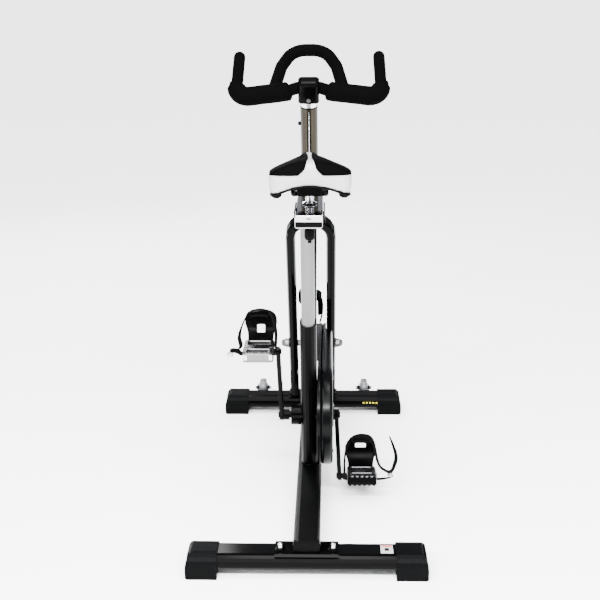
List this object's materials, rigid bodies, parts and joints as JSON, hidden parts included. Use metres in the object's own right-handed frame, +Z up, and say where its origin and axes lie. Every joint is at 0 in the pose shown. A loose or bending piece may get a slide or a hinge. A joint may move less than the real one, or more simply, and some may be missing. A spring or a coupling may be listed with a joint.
{
  "type": "exercise bike",
  "caption": "Indoor cycle with a front flywheel on a raked fork, covered chain drive, toe-cage pedals, sliding saddle, height-adjustable bars, friction brake and transport wheels.",
  "frame": {"origin": "on the floor, under the middle of the bounding box", "axes": "+X to the rider's right (the chain side), +Y forwards towards the handlebar, +Z up"},
  "size_m": [0.55, 1.148, 1.1494],
  "materials": {
    "paint": "gloss black powder coat",
    "foam_loop": "matt black foam sleeve over a steel tube",
    "foam": "matt black closed-cell foam",
    "rubber": "matt black rubber",
    "plastic": "satin black plastic",
    "cover": "gloss black plastic",
    "chrome": "polished chrome",
    "satin_steel": "satin silver",
    "steel": "plain steel",
    "alloy": "satin cast aluminium",
    "iron": "dark turned cast iron",
    "vinyl": "silver and black vinyl over foam",
    "webbing": "black woven webbing",
    "wheel": "translucent grey polyurethane"
  },
  "bodies": {
    "frame": {"bottom_beam": "paint", "bottom_bracket_shell": "paint", "chain": "steel", "chain_cover_inner": "cover", "chain_cover_outer": "cover", "flywheel_axle": "chrome", "foot_cap_front_left": "rubber", "foot_cap_front_right": "rubber", "foot_cap_rear_left": "rubber", "foot_cap_rear_right": "rubber", "fork": "paint", "front_saddle_plate": "paint", "front_stabilizer": "paint", "head_sleeve": "paint", "main_tube": "paint", "plate_bolt_left": "chrome", "plate_bolt_right": "chrome", "rear_saddle_plate": "paint", "rear_stabilizer": "paint", "seat_tube": "paint", "wheel_bracket_left": "paint", "wheel_bracket_right": "paint"},
    "flywheel": {"flywheel": "iron"},
    "crank": {"crank_spindle": "chrome", "crank_arm_left": "paint", "crank_arm_right": "paint", "chainring": "steel", "pedal_spindle_left": "chrome", "pedal_spindle_right": "chrome"},
    "pedal_left": {"pedal_body_left": "alloy", "toe_cage_left": "plastic", "pedal_strap_left": "webbing"},
    "pedal_right": {"pedal_body_right": "alloy", "toe_cage_right": "plastic", "pedal_strap_right": "webbing"},
    "seat_post": {"seat_post": "satin_steel", "slide_carriage": "paint"},
    "seat_slide": {"seat_slide": "chrome", "slide_end_cap": "chrome", "saddle_pin": "chrome"},
    "saddle": {"saddle_clamp": "paint", "saddle_rail_left": "paint", "saddle_rail_right": "paint", "saddle_base": "plastic", "saddle_cushion": "vinyl"},
    "slide_knob": {"slide_knob": "plastic"},
    "seat_post_knob": {"seat_post_knob": "plastic"},
    "handlebar": {"handlebar_post": "chrome", "post_neck": "chrome", "stem_clamp": "paint", "handlebar": "paint", "handlebar_loop": "foam_loop", "grip_left": "foam", "grip_right": "foam"},
    "handlebar_knob": {"handlebar_knob": "plastic"},
    "brake": {"brake_caliper": "paint", "tension_rod": "chrome"},
    "tension_knob": {"tension_knob": "plastic"},
    "transport_wheel_left": {"transport_wheel_left": "wheel"},
    "transport_wheel_right": {"transport_wheel_right": "wheel"}
  },
  "joints": [
    {"name": "flywheel_spin", "type": "hinge", "parent": "frame", "child": "flywheel", "pos_m": [0, 0.35556, 0.26], "axis": [1, 0, 0], "continuous": true},
    {"name": "crank_spin", "type": "hinge", "parent": "frame", "child": "crank", "pos_m": [0, -0.164, 0.237], "axis": [1, 0, 0], "continuous": true},
    {"name": "pedal_left_spin", "type": "hinge", "parent": "crank", "child": "pedal_left", "pos_m": [-0.126, -0.164, 0.407], "axis": [1, 0, 0], "continuous": true},
    {"name": "pedal_right_spin", "type": "hinge", "parent": "crank", "child": "pedal_right", "pos_m": [0.135, -0.164, 0.067], "axis": [1, 0, 0], "continuous": true},
    {"name": "seat_height", "type": "slide", "parent": "frame", "child": "seat_post", "axis": [0, -0.2756, 0.9613], "range_m": [-0.14, 0.03]},
    {"name": "seat_fore_aft", "type": "slide", "parent": "seat_post", "child": "seat_slide", "axis": [0, 1, 0], "range_m": [-0.06, 0.06]},
    {"name": "saddle_tilt", "type": "hinge", "parent": "seat_slide", "child": "saddle", "pos_m": [0.007, -0.343, 0.846], "axis": [0.9995, 0.0314, 0], "range_deg": [-4, 4]},
    {"name": "slide_knob_turn", "type": "hinge", "parent": "seat_post", "child": "slide_knob", "pos_m": [0.007, -0.37572, 0.76], "axis": [0, 0, 1], "range_deg": [-360, 0]},
    {"name": "seat_post_knob_pull", "type": "slide", "parent": "frame", "child": "seat_post_knob", "axis": [0, 1, 0], "range_m": [0, 0.008], "stiffness_N_per_m": 600, "springref_m": -0.01},
    {"name": "handlebar_height", "type": "slide", "parent": "frame", "child": "handlebar", "axis": [0, -0.4493, 0.8934], "range_m": [-0.085, 0.03]},
    {"name": "handlebar_knob_pull", "type": "slide", "parent": "frame", "child": "handlebar_knob", "axis": [0, 0.8934, 0.4493], "range_m": [0, 0.008], "stiffness_N_per_m": 600, "springref_m": -0.01},
    {"name": "tension_knob_turn", "type": "hinge", "parent": "brake", "child": "tension_knob", "pos_m": [0, 0.15025, 0.75724], "axis": [0, -0.4493, 0.8934], "range_deg": [-440, 750]},
    {"name": "brake_press", "type": "slide", "parent": "frame", "child": "brake", "axis": [0, -0.4493, 0.8934], "range_m": [-0.0018, 0.0031]},
    {"name": "transport_left_spin", "type": "hinge", "parent": "frame", "child": "transport_wheel_left", "pos_m": [-0.162, 0.545, 0.046], "axis": [1, 0, 0], "continuous": true},
    {"name": "transport_right_spin", "type": "hinge", "parent": "frame", "child": "transport_wheel_right", "pos_m": [0.162, 0.545, 0.046], "axis": [1, 0, 0], "continuous": true}
  ],
  "couplings": [
    {"joint": "crank_spin", "follows": "flywheel_spin", "ratio": 0.32},
    {"joint": "tension_knob_turn", "follows": "brake_press", "rad_per_m": 4188.8}
  ]
}
